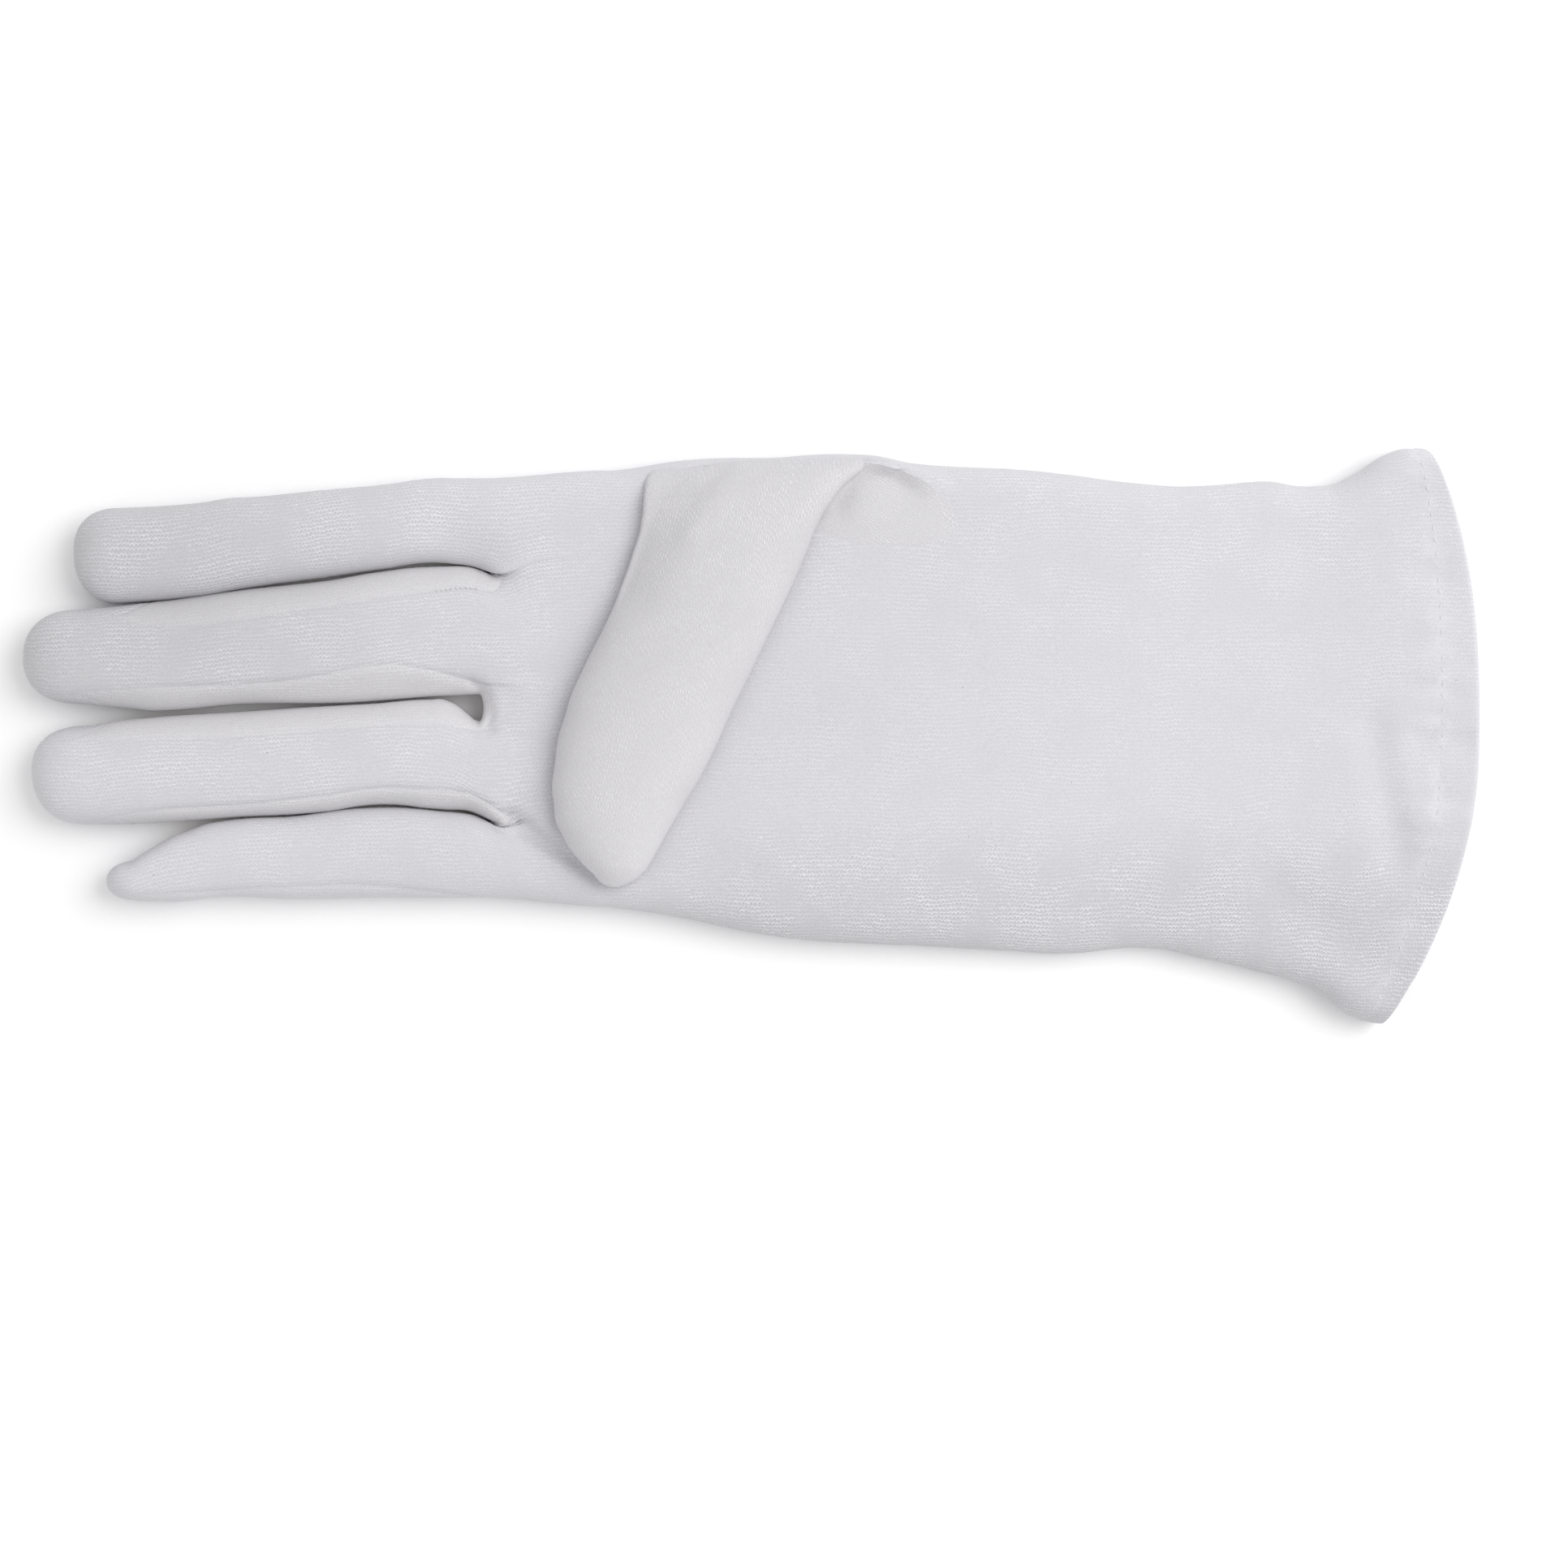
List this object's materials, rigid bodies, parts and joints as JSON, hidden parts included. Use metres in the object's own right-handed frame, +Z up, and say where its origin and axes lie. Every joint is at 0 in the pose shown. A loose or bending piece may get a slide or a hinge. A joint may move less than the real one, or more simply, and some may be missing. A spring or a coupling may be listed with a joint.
{
  "type": "cotton glove",
  "caption": "Right-hand knitted cotton dress glove lying flat, palm up, with the thumb folded over the palm and a flared hemmed cuff.",
  "frame": {"origin": "on the surface that the glove lies on, under the middle of its bounding box", "axes": "+X from the fingertips to the cuff, +Y from the little finger to the index finger, +Z up out of the palm"},
  "size_m": [0.2904, 0.1151, 0.021],
  "materials": {
    "cotton": "matte knitted cotton",
    "hem_cotton": "matte knitted cotton, doubled and stitched"
  },
  "bodies": {
    "root": {"palm_panel": "cotton", "back_panel": "cotton", "fourchette_index_middle": "cotton", "fourchette_middle_ring": "cotton", "fourchette_ring_little": "cotton", "thumb": "cotton", "cuff_hem": "hem_cotton"}
  },
  "joints": []
}
